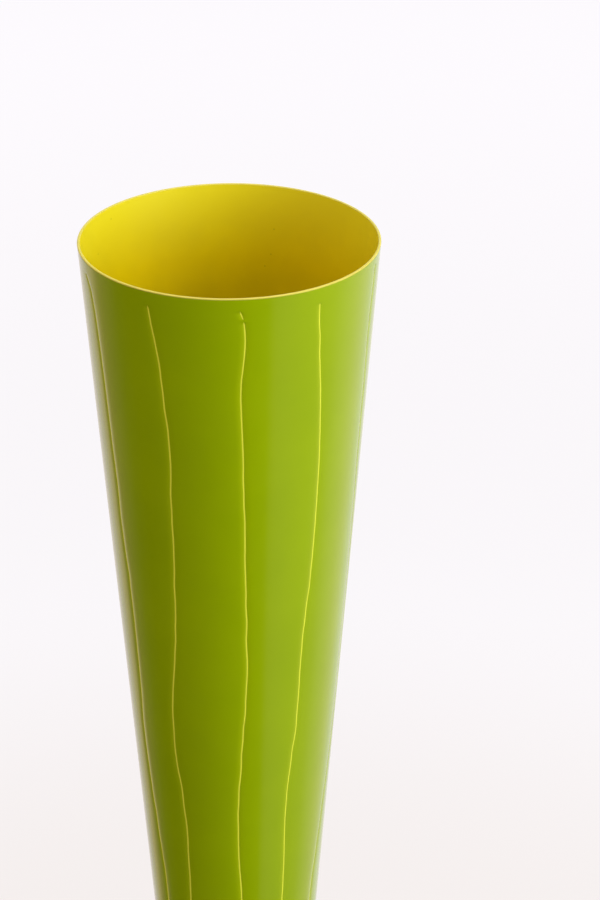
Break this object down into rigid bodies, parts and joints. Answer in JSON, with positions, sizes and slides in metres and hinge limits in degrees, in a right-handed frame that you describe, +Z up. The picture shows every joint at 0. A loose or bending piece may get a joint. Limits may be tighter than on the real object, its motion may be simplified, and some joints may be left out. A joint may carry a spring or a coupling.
{
  "type": "trumpet vase",
  "caption": "Tall conical vase of enamelled sheet metal, green outside with scribed yellow lines and yellow inside, on a flared weighted foot.",
  "frame": {"origin": "centre of the felt's underside, on the surface that the vase stands on", "axes": "+Z up along the vase's axis of revolution; -Y is the side that the picture shows"},
  "size_m": [0.152, 0.152, 0.61],
  "materials": {
    "yellow_enamel": "satin",
    "green_enamel": "gloss",
    "zinc_steel": "zinc plated",
    "cast_iron": "as cast",
    "rubber": "matte",
    "felt": "pressed felt"
  },
  "bodies": {
    "root": {"body_shell": "yellow_enamel", "body_green_coat": "green_enamel", "floor_cup": "yellow_enamel", "foot_stud": "zinc_steel", "seat_gasket": "rubber", "foot_shell": "yellow_enamel", "foot_green_coat": "green_enamel", "spacer_tube": "zinc_steel", "foot_weight": "cast_iron", "stud_washer": "zinc_steel", "stud_nut": "zinc_steel", "base_plate": "zinc_steel", "felt_pad": "felt"}
  },
  "joints": []
}
